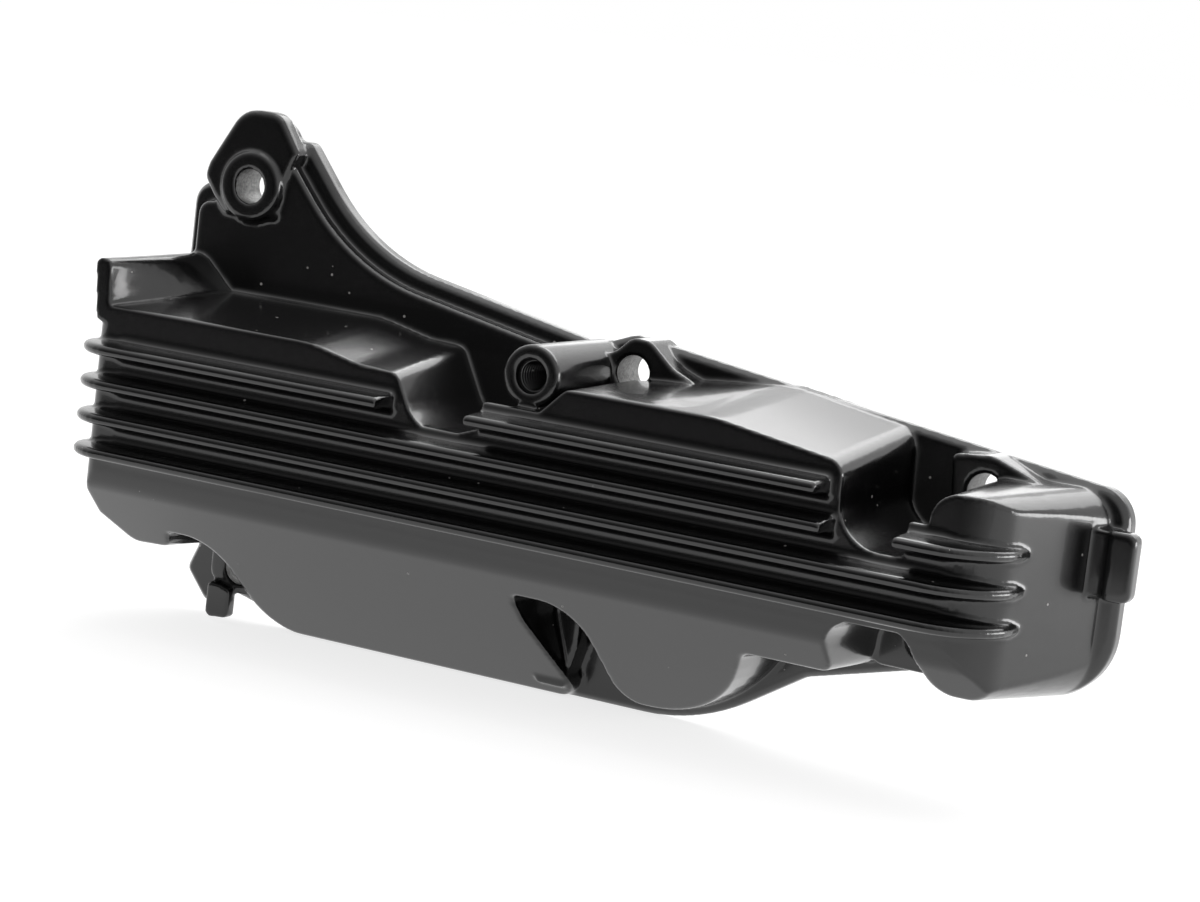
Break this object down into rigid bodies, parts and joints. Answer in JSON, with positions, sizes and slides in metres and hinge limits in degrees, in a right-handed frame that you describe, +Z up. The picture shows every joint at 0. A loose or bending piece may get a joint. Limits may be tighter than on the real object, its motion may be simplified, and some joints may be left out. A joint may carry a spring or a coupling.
{
  "type": "engine oil pan",
  "caption": "Shallow finned oil sump casting: open at the back behind a flat gasket flange, with bolt lugs, a tapped boss, scalloped ledges and wrapped cooling fins.",
  "frame": {"origin": "axis of the upper left bolt hole where it meets the gasket face", "axes": "+X along the fins towards the flared end, +Y out of the gasket face towards the engine, +Z up towards the bolted ledge"},
  "size_m": [0.2769, 0.052, 0.135],
  "materials": {
    "casting": "gloss black paint on die-cast aluminium"
  },
  "bodies": {
    "root": {"oil_pan": "casting"}
  },
  "joints": []
}
